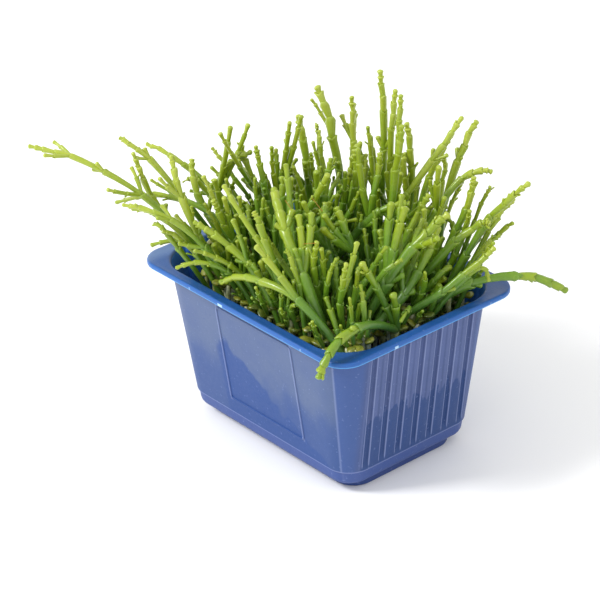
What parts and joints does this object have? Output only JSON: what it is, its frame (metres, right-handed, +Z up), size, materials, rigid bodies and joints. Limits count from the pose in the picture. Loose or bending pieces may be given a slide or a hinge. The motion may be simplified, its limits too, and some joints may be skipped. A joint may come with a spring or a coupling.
{
  "type": "samphire in a tray",
  "caption": "Rectangular blue plastic tray with fluted slanted walls and a flat rim, filled with growing medium and a dense tuft of jointed green samphire shoots that lean over the rim.",
  "frame": {"origin": "under the middle of the tray's foot, on the surface it stands on", "axes": "+Z up, X along the tray's long side, Y along its short side"},
  "size_m": [0.1307, 0.1067, 0.111],
  "materials": {
    "tray_plastic": "blue thermoformed plastic, satin outside, faintly damp",
    "medium": "dark damp fibrous growing medium",
    "shoots": "fleshy succulent shoots, yellow green at the tips, waxy"
  },
  "bodies": {
    "root": {"growing_medium": "medium", "samphire_plant_01": "shoots", "samphire_plant_02": "shoots", "samphire_plant_03": "shoots", "samphire_plant_04": "shoots", "samphire_plant_05": "shoots", "samphire_plant_06": "shoots", "samphire_plant_07": "shoots", "samphire_plant_08": "shoots", "samphire_plant_09": "shoots", "samphire_plant_10": "shoots", "samphire_plant_11": "shoots", "samphire_plant_12": "shoots", "samphire_plant_13": "shoots", "samphire_plant_14": "shoots", "samphire_plant_15": "shoots", "samphire_plant_16": "shoots", "samphire_plant_17": "shoots", "samphire_plant_18": "shoots", "samphire_plant_19": "shoots", "samphire_plant_20": "shoots", "samphire_plant_21": "shoots", "samphire_plant_22": "shoots", "samphire_plant_23": "shoots", "samphire_plant_24": "shoots", "samphire_plant_25": "shoots", "samphire_plant_26": "shoots", "samphire_plant_27": "shoots", "samphire_plant_28": "shoots", "samphire_plant_29": "shoots", "samphire_plant_30": "shoots", "samphire_plant_31": "shoots", "samphire_plant_32": "shoots", "samphire_plant_33": "shoots", "samphire_plant_34": "shoots", "samphire_plant_35": "shoots", "samphire_plant_36": "shoots", "samphire_plant_37": "shoots", "samphire_plant_38": "shoots", "samphire_plant_39": "shoots", "samphire_plant_40": "shoots", "samphire_plant_41": "shoots", "samphire_plant_42": "shoots", "samphire_plant_43": "shoots", "samphire_plant_44": "shoots", "samphire_plant_45": "shoots", "samphire_plant_46": "shoots", "samphire_plant_47": "shoots", "samphire_plant_48": "shoots", "samphire_plant_49": "shoots", "samphire_plant_50": "shoots", "tray": "tray_plastic"}
  },
  "joints": []
}
